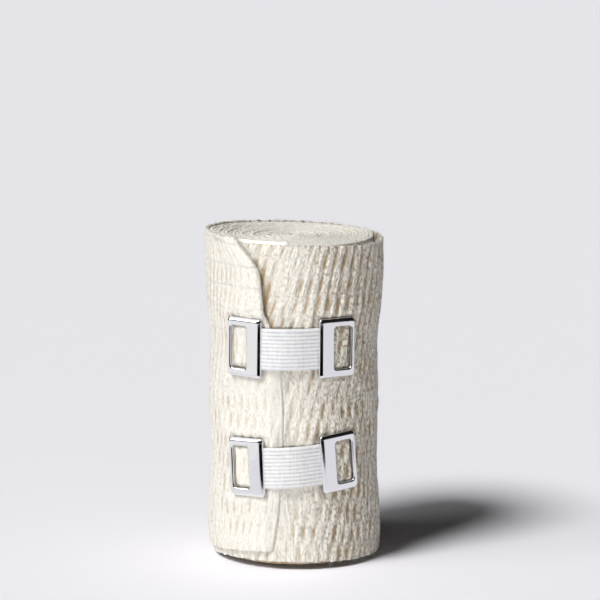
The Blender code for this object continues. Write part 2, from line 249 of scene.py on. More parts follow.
def lay_of_strip(cloth, angle, level):
    """Azimuth, radius and height of the cloth's middle, at an angle wound up from the core and a
    share of the width. The radius is a spiral, plus the ribs' room, the last turn's stand-off and
    the fold's lift. The free end's outline pulls the last stretch back round the roll."""
    left = whole_angle(cloth) - angle
    flap_radius = cloth.core + (cloth.thickness + cloth.gap) * (cloth.turns + 1)
    pull = cloth.setback * curve_through(SECTIONS, "setback", level) / flap_radius
    pulled = angle - pull * smooth(1 - left / SETBACK_ARC)
    turn = pulled / TAU - cloth.turns
    radius = cloth.core + (cloth.thickness + cloth.gap) * pulled / TAU
    radius = radius + cloth.rib_room * curve_through(TURN, "room", angle / TAU - cloth.turns)
    loose = curve_through(SECTIONS, "looseness", level)
    radius = radius + cloth.stand_off * curve_through(TURN, "stand_off", turn) * loose
    lift = curve_through(SECTIONS, "lift", level)
    radius = radius + 2 * FOLD_RADIUS * lift * smooth(1 - left / LIFT_ARC)
    bottom = cloth.swing * curve_through(TURN, "bottom", turn)
    top = cloth.width + cloth.swing * curve_through(TURN, "top", turn)
    height = bottom + (top - bottom) * level
    return cloth.end_azimuth - whole_angle(cloth) + pulled, radius, height


def flare(cloth, azimuth, level):
    """How far the turns below spread to follow the last turn's stand-off, all but in the open
    crescent at the top right."""
    share = 1 - ((cloth.end_azimuth - azimuth) / TAU) % 1.0
    stand = curve_through(TURN, "stand_off", share)
    stand = stand * curve_through(SECTIONS, "looseness", level) * cloth.stand_off
    degrees = np.degrees((azimuth + math.pi) % TAU - math.pi)
    closed = 1 - smooth((degrees - 5) / 30) * smooth((125 - degrees) / 35)
    return stand * closed


def crinkle(cloth, angle, level):
    """The crepe's relief, from 0 in a valley to 1 on a crest, and how far the threads drift along
    the strip. Upright ribs are the absolute value of a cosine, which gives broad crests and narrow
    valleys. They come in rows, half a rib apart, lean over within a row, and run into those of the
    next row across its border. Noise of a rib's size makes some valleys deep and closes others."""
    along = angle / TAU * cloth.ribs
    rise = level * cloth.width / cloth.row + 0.5 * ripple(along * 0.23, level * 3, 11)
    row = np.floor(rise)
    inside = rise - row
    lean = 0.16 + 0.42 * smooth((level - 0.45) / 0.4) + 0.3 * (ripple(along * 0.11, level * 2.3, 5) - 0.5)
    drift = 0.5 * ripple(along * 0.19, level * 4.5, 7)

    def ribs(number, place):
        phase = 0.5 * (number % 2) + 0.5 * ripple(number * 0.73, along * 0.21, 13)
        return (0.5 + 0.5 * np.cos(TAU * (along + phase + drift - lean * (place - 0.5)))) ** 0.7

    border = 0.28
    later = 0.5 * smooth((inside - 1 + border) / border)
    sooner = 0.5 * smooth((border - inside) / border)
    here = ribs(row, inside)
    relief = here + (ribs(row + 1, inside - 1) - here) * later + (ribs(row - 1, inside + 1) - here) * sooner
    depth = 0.25 + 1.15 * ripple(along * 0.83, rise * 1.1, 17)
    swollen = 0.45 + 0.55 * np.sin(math.pi * np.clip(inside, 0, 1)) ** 0.7
    relief = 1 - (1 - relief) * depth * swollen
    edge = np.minimum(inside, 1 - inside)
    relief = relief - 0.10 * np.exp(-((edge / 0.06) ** 2))
    knots = ripple(along * 2.3, rise * 3.4, 19) - 0.5
    waver = 1.3 * ripple(along * 0.4, rise, 47)
    fine = np.abs(np.cos(math.pi * (2.0 * along + 2.0 * drift - 2.0 * lean * inside + waver)))
    fine_share = (0.22 + 0.4 * ripple(along * 0.6, rise * 0.8, 53)) * (1.25 - 0.6 * depth)
    relief = relief + 0.14 * knots + fine_share * (fine - 0.66)
    slant = (drift - lean * inside) * TAU / cloth.ribs
    return np.clip(relief, 0, 1.15), slant


def clip_puff(cloth, clips, azimuth, radius, height):
    """How far the soft cloth swells out in the windows and round the rims of the end plates."""
    swell = np.zeros_like(radius)
    for plate in PLATES:
        across = radius * np.sin(azimuth - math.radians(plate["azimuth"]))
        upward = height - plate["height"]
        ahead = np.cos(azimuth - math.radians(plate["azimuth"])) > 0
        tilt = math.radians(plate["tilt"])
        across, upward = (across * math.cos(tilt) + upward * math.sin(tilt),
                          upward * math.cos(tilt) - across * math.sin(tilt))
        middle = plate["side"] * (clips.plate_width / 2 - clips.outer_bar - clips.window_width / 2)
        beyond = np.maximum(np.abs(across - middle) - clips.window_width / 2,
                            np.abs(upward) - clips.window_height / 2)
        window = smooth(-beyond / 0.0016 + 0.3)
        gap = np.maximum(np.abs(across) - clips.plate_width / 2, np.abs(upward) - clips.plate_height / 2)
        around = smooth(gap / 0.0008) * smooth(1 - (gap - 0.0008) / 0.006)
        drop = clips.plate_width / 2 * 0.12 + across**2 / (2 * CLIP_RADIUS)
        swell = swell + ahead * (window * (0.0006 + drop * 0.9) + around * (0.00035 + 0.3 * drop))
    return np.minimum(swell, 0.0016)


def new_mesh(name, points, faces, attributes=None, uv=None):
    """An object of a mesh, shaded smooth. Attributes hold one value for each point, and uv holds a
    pair for each point, which its corners share."""
    mesh = bpy.data.meshes.new(name)
    mesh.from_pydata(points.reshape(-1, 3).tolist(), [], faces)
    mesh.polygons.foreach_set("use_smooth", np.ones(len(mesh.polygons), bool))
    for title, values in (attributes or {}).items():
        layer = mesh.attributes.new(title, "FLOAT", "POINT")
        layer.data.foreach_set("value", values.reshape(-1).astype(np.float32))
    if uv is not None:
        corners = np.empty(len(mesh.loops), np.int32)
        mesh.loops.foreach_get("vertex_index", corners)
        layer = mesh.uv_layers.new(name="cloth")
        layer.data.foreach_set("uv", uv.reshape(-1, 2)[corners].astype(np.float32).reshape(-1))
    mesh.update()
    item = bpy.data.objects.new(name, mesh)
    bpy.context.scene.collection.objects.link(item)
    return item


def tube_faces(stations, around, capped=True):
    """Quads of a tube of stations with a closed loop of points each, and its two end caps."""
    station = np.arange(stations - 1)[:, None] * around
    point = np.arange(around)[None, :]
    following = (point + 1) % around
    quads = np.stack((station + point, station + following, station + around + following,
                      station + around + point), axis=-1)
    faces = quads.reshape(-1, 4).tolist()
    if capped:
        faces.append(list(range(around))[::-1])
        faces.append([(stations - 1) * around + index for index in range(around)])
    return faces


def wall_loop(half_share, outer_rows, inner_rows, rim_steps):
    """The section of a cloth wall as a loop: up its outer face, over the rounded top edge, down its
    inner face and round the bottom edge. Returns level, side (1 out, -1 in) and up (-1 to 1)."""
    outer = np.linspace(half_share, 1 - half_share, outer_rows)
    inner = np.linspace(1 - half_share, half_share, inner_rows)
    turned = np.linspace(0, math.pi, rim_steps + 2)[1:-1]
    level = np.concatenate((outer, np.full(rim_steps, 1 - half_share), inner, np.full(rim_steps, half_share)))
    side = np.concatenate((np.ones(outer_rows), np.cos(turned), -np.ones(inner_rows), -np.cos(turned)))
    up = np.concatenate((np.zeros(outer_rows), np.sin(turned), np.zeros(inner_rows), -np.sin(turned)))
    return level, side, up


def wall_caps(stations, loop, outer_rows, inner_rows, rim_steps):
    """Faces that close a wall's two end sections: each step of the outer rows goes to its nearest
    inner row, so that no face spans more than the cloth's thickness."""
    first = outer_rows + rim_steps
    middles = (loop[:outer_rows - 1] + loop[1:outer_rows]) / 2
    nearest = first + np.abs(middles[:, None] - loop[first:first + inner_rows]).argmin(axis=1)
    low = np.arange(outer_rows - 1)
    cap = np.stack((low, low + 1, nearest), axis=-1).tolist()
    change = np.flatnonzero(np.diff(nearest))
    cap += np.stack((change + 1, nearest[change + 1], nearest[change]), axis=-1).tolist()
    cap.append(list(range(outer_rows - 1, first + 1)))
    cap.append(list(range(first + inner_rows - 1, len(loop))) + [0])
    last = (stations - 1) * len(loop)
    return [[last + index for index in face] for face in cap] + [face[::-1] for face in cap]


def strip_axis(cloth):
    """Where the roll's axis stands: the solids' box round the strip, against the same spiral's."""
    angle, level = np.meshgrid(
        np.linspace(whole_angle(cloth) - TAU, whole_angle(cloth), 721), np.linspace(0, 1, 60), indexing="ij"
    )
    azimuth, radius, _ = lay_of_strip(cloth, angle, level)
    points = outward(azimuth) * (radius + cloth.thickness / 2)[..., None]
    low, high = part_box("bandage_strip")
    middle = (points.reshape(-1, 3).min(axis=0) + points.reshape(-1, 3).max(axis=0)) / 2
    return np.array([(low[0] + high[0]) / 2 - middle[0], (low[1] + high[1]) / 2 - middle[1], 0])


def finish(piece, material):
    """Material, body and material slot of a finished piece."""
    piece.data.materials.append(material)
    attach(piece, BODY)
    return piece


class BANDAGE_OT_outer_turn(Operator):
    """Builds the last turn of the strip, crinkled, with its corner turned under"""

    bl_idname = "bandage.outer_turn"
    bl_label = "Last turn"

    def execute(self, context):
        cloth = context.scene.bandage_cloth
        clips = context.scene.bandage_clips
        whole = whole_angle(cloth)
        hidden = np.linspace(whole - LAST_TURNS * TAU, whole - SHOWN_TURNS * TAU, 24, endpoint=False)
        shown = np.linspace(whole - SHOWN_TURNS * TAU, whole, 452)
        bend = np.linspace(0, 1, 10)[1:]
        tail = np.linspace(0, 1, 4)[1:]
        angle = np.concatenate((hidden, shown, np.full(len(bend) + len(tail), whole)))
        bent = np.concatenate((np.zeros(len(hidden) + len(shown)), bend, np.ones(len(tail))))
        tailed = np.concatenate((np.zeros(len(hidden) + len(shown) + len(bend)), tail))
        level, side, up = wall_loop(cloth.thickness / 2 / cloth.width, *OUTER_WALL)
        angle, level = np.meshgrid(angle, level, indexing="ij")
        azimuth, radius, height = lay_of_strip(cloth, angle, level)
        bulge = (FOLD_RADIUS + cloth.thickness / 2) / 0.0265
        azimuth = azimuth - bulge * smooth(1 - (whole - angle) / LIFT_ARC)
        fold = np.clip(curve_through(SECTIONS, "fold", level), 0, 1)
        turned = math.pi * bent[:, None] * fold
        forward = FOLD_RADIUS * (np.sin(turned) + (1 - fold) * bent[:, None])
        drop = FOLD_RADIUS * (1 - np.cos(turned)) + 0.00022 * (1 - fold) * bent[:, None] ** 2
        run = FOLD_TAIL * tailed[:, None] * fold**4
        forward = forward + run * np.cos(turned)
        drop = drop + run * np.sin(turned)
        share = angle / TAU - cloth.turns
        radius = radius + 0.9 * flare(cloth, azimuth, level) * smooth(-share / 0.12)
        relief, slant = crinkle(cloth, angle, level)
        radius = radius + clip_puff(cloth, clips, azimuth, radius, height) * smooth((share + 0.06) / 0.04)
        depth = cloth.crinkle * curve_through(TURN, "relief", share)
        from_end = (whole - angle) * 0.025
        line = cloth.end_azimuth - cloth.setback / 0.0254 * curve_through(SECTIONS, "setback", level)
        past = (azimuth - line + math.pi) % TAU - math.pi
        lower = share < 0.5
        radius = radius + 0.00025 * lower * (1 - fold) * np.exp(-((past / 0.07) ** 2))
        offset = (relief - 0.6) * depth * (1 - 0.6 * fold * smooth(1 - from_end / 0.004))
        pressed = (1 - fold) * smooth(1 - from_end / 0.0035)
        under = smooth(-(share + 0.002) / 0.008) * smooth((share + 0.06) / 0.02)
        offset = offset * (1 - 0.85 * under) * (1 - 0.25 * pressed)
        radius = radius - 0.62 * pressed * cloth.thickness / 2
        nose = np.sqrt(np.clip(1 - (bent[:, None] * (1 - fold)) ** 2, 0.01, 1))
        nose = nose * np.sqrt(np.clip(1 - (tailed[:, None] * fold) ** 2, 0.01, 1))
        half = cloth.thickness / 2 * nose * (1 - 0.62 * pressed)
        ragged = 0.0005 * (ripple(angle * 21, 0 * angle, 23) - 0.5)
        ragged = ragged + 0.0003 * (ripple(angle * 75, 0 * angle, 29) - 0.5)
        height = height + ragged * smooth((np.abs(level - 0.5) - 0.46) / 0.04) * np.sign(level - 0.5)
        out = outward(azimuth)
        on = onward(azimuth)
        normal = out * np.cos(turned)[..., None] + on * np.sin(turned)[..., None]
        points = out * (radius - drop)[..., None] + on * forward[..., None]
        points = points + normal * (side * half + offset)[..., None]
        points[..., 2] = height + up * half
        points = points + strip_axis(cloth)
        length = np.cumsum(np.diff(angle[:, 0], prepend=angle[0, 0])) * radius.mean()
        length = length + FOLD_RADIUS * math.pi * bent + FOLD_TAIL * tailed
        uv = np.stack((length[:, None] + slant * CLIP_RADIUS, level * cloth.width), axis=-1)
        # Painted shade: the valley mask darkens the cloth between the ribs, more where the crinkle is deep.
        valley = np.clip(1 - relief, 0, 1) * np.clip(depth / cloth.crinkle, 0, 1)
        # Painted shadow of the turned-under fold: a brown band on the layer below, just past the free end's
        # line in its upper part.
        beside = lower * smooth((level - 0.66) / 0.08) * smooth((1.01 - level) / 0.1)
        valley = valley + 0.6 * beside * np.exp(-(((past - 0.01) / 0.085) ** 2))
        # Contrast: how strongly the painted shade in the valleys and holes shows.
        contrast = np.clip(depth / cloth.crinkle, 0.3, 1.2) ** 1.5
        faces = tube_faces(*level.shape, capped=False) + wall_caps(len(level), level[0], *OUTER_WALL)
        looks = {"valley": valley, "contrast": contrast}
        piece = new_mesh("crepe_last_turn", points, faces, looks, uv)
        finish(piece, crepe_material(cloth))
        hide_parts("bandage_strip")
        return {"FINISHED"}


class BANDAGE_OT_wound_turns(Operator):
    """Builds the tight inner turns of the strip"""

    bl_idname = "bandage.wound_turns"
    bl_label = "Inner turns"

    def execute(self, context):
        cloth = context.scene.bandage_cloth
        last = whole_angle(cloth) - LAST_TURNS * TAU
        pitch = (cloth.thickness + cloth.gap) / TAU
        total = (cloth.core + pitch * last) ** 2 - cloth.core**2
        length = total / (2 * pitch)
        along = np.linspace(0, length, 2600)
        angle = (np.sqrt(cloth.core**2 + 2 * pitch * along) - cloth.core) / pitch
        level, side, up = wall_loop(cloth.thickness / 2 / cloth.width, 6, 6, 5)
        ends = cloth.thickness / 2 / cloth.width
        even = (level - ends) / (1 - 2 * ends)
        level = ends + (1 - 2 * ends) * (0.5 - 0.5 * np.cos(math.pi * even))
        angle, level = np.meshgrid(angle, level, indexing="ij")
        azimuth, radius, height = lay_of_strip(cloth, angle, level)
        outer = cloth.core + pitch * last
        spread = np.clip(radius / outer, 0, 1)
        wave = 0.00007 * np.sin(along / 0.0026 * TAU)[:, None] * smooth((last - angle) / 2)
        wander = 0.0002 * (ripple(azimuth * 1.1 + 40, radius * 160, 31) - 0.5) * smooth(radius / 0.006)
        wander = wander * smooth((last - angle) / 9) + flare(cloth, azimuth, level) * spread**2
        wander = wander - 0.0016 * spread**2 * np.clip(1 - level / 0.05, 0, 1) ** 1.5
        step = 0.0004 * (ripple(angle * 0.55, 0 * angle, 37) - 0.5) * smooth((last - angle) / 3)
        ragged = 0.0003 * (ripple(along[:, None] * 1400, level, 41) - 0.5)
        share = 1 - ((cloth.end_azimuth - azimuth) / TAU) % 1.0
        rim = cloth.swing * np.clip(curve_through(TURN, "top", share), 0, 1) * spread**4
        hollow = 0.0010 * smooth((spread - 0.55) / 0.3)
        height = height + np.where(level > 0.5, step + ragged + 0.85 * rim, np.abs(step + ragged) + hollow)
        half = cloth.thickness / 2
        points = outward(azimuth) * (radius + wave + wander + side * half * 1.30)[..., None]
        points[..., 2] = height + up * half * 0.55
        points = points + strip_axis(cloth)
        uv = np.stack((np.broadcast_to(along[:, None], level.shape), level * cloth.width), axis=-1)
        # Painted shade: the inner turns darken to the valley colour towards the bottom, where they lie in the
        # shade under the roll, with a little random tone.
        valley = 0.9 * smooth((0.5 - level) / 0.3) + 0.2 * (ripple(angle * 9, level, 43) - 0.5)
        faces = tube_faces(*level.shape)
        looks = {"valley": valley, "contrast": np.full(level.shape, 0.35)}
        piece = new_mesh("wound_turns", points, faces, looks, uv)
        finish(piece, inner_material(cloth))
        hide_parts("bandage_strip")
        return {"FINISHED"}


class BANDAGE_OT_loose_fibres(Operator):
    """Builds the fuzz: short bent fibres that stand out of the cloth and its edges"""

    bl_idname = "bandage.loose_fibres"
    bl_label = "Loose fibres"

    def execute(self, context):
        cloth = context.scene.bandage_cloth
        random = np.random.default_rng(3)
        whole = whole_angle(cloth)
        face, rim, disc, foot = kinds = range(4)
        counts = (1500, 700, 1300, 500)
        count = sum(counts)
        kind = np.repeat(kinds, counts)
        last_turn = whole - TAU * random.random(count)
        inner_turn = whole * np.sqrt(random.random(count))
        angle = np.where(kind == disc, inner_turn, last_turn)
        level = np.where(kind == face, random.random(count), np.where(kind == foot, 0.0, 1.0))
        azimuth, radius, height = lay_of_strip(cloth, angle, level)
        inside = np.where(kind == disc, flare(cloth, azimuth, level) * (radius / 0.0255) ** 2, 0.0)
        base = outward(azimuth) * (radius + inside + np.where(kind == face, cloth.thickness / 2, 0))[:, None]
        base[:, 2] = height - np.where(kind == disc, 0.0002, 0)
        base = base + strip_axis(cloth)
        out = outward(azimuth)
        up = np.array([0.0, 0.0, 1.0]) * np.where(kind == foot, -1.0, 1.0)[:, None]
        stand = np.where((kind == face)[:, None], out, 0.8 * up + 0.35 * out)
        scatter = random.normal(size=(count, 3))
        direction = stand * 0.55 + scatter * 0.55
        direction = direction / np.linalg.norm(direction, axis=1, keepdims=True)
        bend = np.cross(direction, random.normal(size=(count, 3)))
        reach = (0.0005 + 0.0013 * random.random(count) ** 1.5)[:, None, None]
        share = np.linspace(0, 1, 5)[None, :, None]
        path = base[:, None] + reach * (direction[:, None] * share + 0.6 * bend[:, None] * share**2)
        path[..., 2] = np.maximum(path[..., 2], 0.00006)
        side = np.cross(direction, bend)
        side = side / np.linalg.norm(side, axis=1, keepdims=True)
        across = np.cross(direction, side)
        corner = np.arange(3) * TAU / 3
        thick = 0.000026 * (1 - 0.6 * share[..., None])
        ring = side[:, None, None] * np.cos(corner)[:, None] + across[:, None, None] * np.sin(corner)[:, None]
        points = path[:, :, None] + thick * ring
        one = np.array(tube_faces(5, 3, capped=False))
        ends = np.array([(2, 1, 0), (12, 13, 14)])
        starts = np.arange(count)[:, None, None] * 15
        faces = (one + starts).reshape(-1, 4).tolist() + (ends + starts).reshape(-1, 3).tolist()
        piece = new_mesh("loose_fibres", points, faces)
        finish(piece, fibre_material(cloth))
        return {"FINISHED"}


def node_points(node, cloth):
    """The vertices of a CAD node, from the roll's axis."""
    vertices = np.empty(len(NODES[node].data.vertices) * 3, np.float32)
    NODES[node].data.vertices.foreach_get("co", vertices)
    return vertices.reshape(-1, 3) - strip_axis(cloth)


class BANDAGE_OT_elastic_bands(Operator):
    """Builds the ribbed elastic bands over their CAD solids"""

    bl_idname = "bandage.elastic_bands"
    bl_label = "Elastic bands"

    def execute(self, context):
        cloth = context.scene.bandage_cloth
        clips = context.scene.bandage_clips
        for clip in ("upper", "lower"):
            x, y, heights = node_points(clip + "_elastic_band", cloth).T
            azimuths, radii = np.arctan2(x, -y), np.hypot(x, y)
            marks = np.unique(np.round(azimuths, 4))
            near = [np.abs(azimuths - mark) < 0.004 for mark in marks]
            inner = np.array([radii[found].min() for found in near])
            low = np.array([heights[found].min() for found in near])
            high = np.array([heights[found].max() for found in near])
            azimuth = np.linspace(marks[0], marks[-1], 150)
            taut = np.polyval(np.polyfit(marks, inner, 4), azimuth)
            taut = taut + (inner - np.interp(marks, azimuth, taut)).max() - 0.0002
            width = (high - low).mean()
            middle = np.interp(azimuth, marks, (high + low) / 2)
            thick = 0.0007
            level, side, up = wall_loop(thick / 2 / width, 133, 24, 6)
            ribs = np.abs(np.sin(math.pi * clips.band_ribs * level)) ** 0.8
            knit = 0.00003 * np.sin(azimuth * CLIP_RADIUS / KNIT_PITCH * TAU)[:, None]
            outer = np.clip(side, 0, 1)
            radius = taut[:, None] + thick / 2 + side * thick / 2
            radius = radius + outer * (clips.band_rib_depth * (ribs - 0.6) + knit * (1 - ribs * 0.5))
            selvage = smooth((np.abs(level - 0.5) - 0.455) / 0.02)
            radius = radius - outer * 0.00012 * selvage
            height = middle[:, None] + (level - 0.5) * width + up * thick / 2
            points = outward(np.broadcast_to(azimuth[:, None], radius.shape)) * radius[..., None]
            points[..., 2] = height
            points = points + strip_axis(cloth)
            along = (azimuth - azimuth[0]) * CLIP_RADIUS
            uv = np.stack(np.broadcast_arrays(along[:, None], level * width), axis=-1)
            # Painted shade in the grooves between the elastic's ribs.
            valley = np.broadcast_to(1 - ribs, radius.shape)
            piece = new_mesh(clip + "_ribbed_elastic", points, tube_faces(*radius.shape),
                             {"valley": valley, "contrast": np.ones(radius.shape)}, uv)
            finish(piece, elastic_material(clips))
            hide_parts(clip + "_elastic_band")
        return {"FINISHED"}


def outline(left, right, bottom, top, corner, count):
    """A rounded rectangle of points, evenly spread over its corners and sides, as (x, y)."""
    turned = np.linspace(0, math.pi / 2, count)
    corners = []
    for quarter, (x, y) in enumerate(((right - corner, top - corner), (left + corner, top - corner),
                                      (left + corner, bottom + corner), (right - corner, bottom + corner))):
        corners.append(np.stack((x + corner * np.cos(turned + quarter * math.pi / 2),
                                 y + corner * np.sin(turned + quarter * math.pi / 2)), axis=-1))
    loop = []
    for index, start in enumerate(corners):
        following = corners[(index + 1) % 4]
        between = np.linspace(0, 1, 8)[1:-1, None]
        loop += [start, start[-1] + (following[0] - start[-1]) * between]
    return np.concatenate(loop)


class BANDAGE_OT_end_plates(Operator):
    """Builds the pressed metal end plates: a rim, a rounded bevel, a flat face and a window's lip"""

    bl_idname = "bandage.end_plates"
    bl_label = "End plates"

    def execute(self, context):
        cloth = context.scene.bandage_cloth
        clips = context.scene.bandage_clips
        for plate in PLATES:
            node = plate["name"] + "_end_plate"
            azimuth = np.array(math.radians(plate["azimuth"]))
            normal = outward(azimuth)
            face = node_points(node, cloth) @ normal
            across, upward = onward(azimuth), np.array([0.0, 0.0, 1.0])
            tilt = math.radians(plate["tilt"])
            x_axis = across * math.cos(tilt) + upward * math.sin(tilt)
            y_axis = upward * math.cos(tilt) - across * math.sin(tilt)
            centre = normal * (face.max() - clips.plate_depth) + upward * plate["height"] + strip_axis(cloth)
            points = self.section(clips, plate["side"])
            points = points[..., :1] * x_axis + points[..., 1:2] * y_axis + points[..., 2:] * normal + centre
            loops, around = points.shape[:2]
            faces = tube_faces(loops, around, capped=False)
            last = (loops - 1) * around
            index = np.arange(around)
            following = (index + 1) % around
            closing = np.stack((last + index, last + following, following, index), axis=-1)
            piece = new_mesh(plate["name"] + "_pressed_plate", points, faces + closing.tolist())
            finish(piece, metal_material(clips))
            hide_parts(node)
        return {"FINISHED"}

    def section(self, clips, side):
        """Loops of a closed sheet: out from the rim's foot, over the bevel, across the face and
        down the lip, and back inside it at the sheet's thickness. The bevel is narrower along the
        outer bar."""
        turned = np.linspace(0, math.pi / 2, 9)
        depth = clips.plate_depth
        profile = []
        for thick, flip in ((0.0, 1), (clips.sheet, -1)):
            rows = [("rim", thick, 0.0, 0.0)]
            for angle in np.linspace(math.radians(62), 0, 9):
                rows.append(("rim", thick, 1 - math.sin(angle) / math.sin(math.radians(62)),
                             depth - thick - clips.bevel * (1 - math.cos(angle))))
            for angle in turned:
                rows.append(("lip", thick * 0.6, 1 - math.sin(angle),
                             depth - clips.lip + (clips.lip - thick) * math.cos(angle)))
            rows.append(("lip", thick * 0.6, 0.0, depth - clips.lip_depth))
            profile += rows[::flip]
        loops = []
        for kind, thick, bend, level in profile:
            if kind == "rim":
                wide = thick + (clips.bevel - thick) * bend
                narrow = thick + (clips.outer_bevel - thick) * bend
                right, left = (narrow, wide) if side > 0 else (wide, narrow)
                edges = (-clips.plate_width / 2 + left, clips.plate_width / 2 - right,
                         -clips.plate_height / 2 + wide, clips.plate_height / 2 - wide)
                corner = max(clips.corner - wide * 0.45, 0.0002)
            else:
                grow = thick + (clips.lip - thick) * bend
                middle = side * (clips.plate_width / 2 - clips.outer_bar - clips.window_width / 2)
                half = clips.window_width / 2 + grow
                edges = (middle - half, middle + half,
                         -clips.window_height / 2 - grow, clips.window_height / 2 + grow)
                corner = clips.window_corner + grow * 0.5
            loop = outline(*edges, corner, 9)
            loops.append(np.column_stack((loop, np.full(len(loop), level))))
        return np.array(loops)


def node(tree, kind, links=None, **values):
    """A shader node with its properties set, and its inputs set or linked from other sockets."""
    made = tree.nodes.new("ShaderNode" + kind)
    for title, value in values.items():
        setattr(made, title, value)
    for title, value in (links or {}).items():
        socket = made.inputs[title]
        if isinstance(value, bpy.types.NodeSocket):
            tree.links.new(value, socket)
        else:
            socket.default_value = value
    return made


def maths(tree, operation, first, second=0.0):
    return node(tree, "Math", {0: first, 1: second}, operation=operation).outputs[0]


def plain_material(name, constants):
    """A new material with these constants on its shader's own sockets."""
    made = bpy.data.materials.new(name)
    made.use_nodes = True
    for title, value in constants.items():
        made.node_tree.nodes["Principled BSDF"].inputs[title].default_value = value
    return made


def thread_group():
    """Crepe threads. Strands are noise drawn out along the strip's width, the weave is the product
    of a sine along each thread direction, bent by noise, and grain is finer noise. Gives their
    height, a mask of the strands, and a mask that is 1 in the holes between threads."""
    if "crepe threads" in bpy.data.node_groups:
        return bpy.data.node_groups["crepe threads"]
    tree = bpy.data.node_groups.new("crepe threads", "ShaderNodeTree")
    for title, kind in (("Vector", "NodeSocketVector"), ("Pitch", "NodeSocketFloat"),
                        ("Stretch", "NodeSocketFloat"), ("Slub", "NodeSocketFloat")):
        tree.interface.new_socket(title, in_out="INPUT", socket_type=kind)
    for title in ("Height", "Strands", "Holes"):
        tree.interface.new_socket(title, in_out="OUTPUT", socket_type="NodeSocketFloat")
    enter = tree.nodes.new("NodeGroupInput").outputs
    leave = tree.nodes.new("NodeGroupOutput").inputs
    bend = node(tree, "TexNoise", {"Vector": enter["Vector"], "Scale": 700.0, "Detail": 2.0})
    shift = node(tree, "VectorMath", {0: bend.outputs["Color"], 1: (0.5, 0.5, 0.5)}, operation="SUBTRACT")
    amount = maths(tree, "MULTIPLY", enter["Slub"], enter["Pitch"])
    shift = node(tree, "VectorMath", {0: shift.outputs[0], "Scale": amount}, operation="SCALE")
    place = node(tree, "VectorMath", {0: enter["Vector"], 1: shift.outputs[0]}, operation="ADD")
    parts = node(tree, "SeparateXYZ", {0: place.outputs[0]})
    turns = maths(tree, "DIVIDE", TAU, enter["Pitch"])
    over = maths(tree, "SINE", maths(tree, "MULTIPLY", parts.outputs[0], turns))
    slow = maths(tree, "DIVIDE", turns, enter["Stretch"])
    under = maths(tree, "SINE", maths(tree, "MULTIPLY", parts.outputs[1], slow))
    weave = maths(tree, "MULTIPLY_ADD", maths(tree, "MULTIPLY", over, under), 0.5)
    weave.node.inputs[2].default_value = 0.5
    drawn = node(tree, "VectorMath", {0: enter["Vector"], 1: (1.0, 0.16, 1.0)}, operation="MULTIPLY")
    strands = node(tree, "TexNoise", {"Vector": drawn.outputs[0], "Scale": 1400.0, "Detail": 2.0}).outputs[0]
    strands = node(tree, "MapRange", {0: strands, 1: 0.3, 2: 0.7}).outputs[0]
    drawn = node(tree, "VectorMath", {0: enter["Vector"], 1: (1.3, 0.5, 1.0)}, operation="MULTIPLY")
    grain = node(tree, "TexNoise", {"Vector": drawn.outputs[0], "Scale": 1700.0, "Detail": 2.0}).outputs[0]
    grain = node(tree, "MapRange", {0: grain, 1: 0.28, 2: 0.72}).outputs[0]
    mixed = maths(tree, "ADD", maths(tree, "MULTIPLY", weave, 0.40), maths(tree, "MULTIPLY", grain, 0.60))
    height = maths(tree, "ADD", maths(tree, "MULTIPLY", mixed, 0.5), maths(tree, "MULTIPLY", strands, 0.5))
    holes = node(tree, "MapRange", {0: mixed, 1: 0.55, 2: 0.22, 3: 0.0, 4: 1.0}).outputs[0]
    for title, value in (("Height", height), ("Strands", strands), ("Holes", holes)):
        tree.links.new(value, leave[title])
    return tree


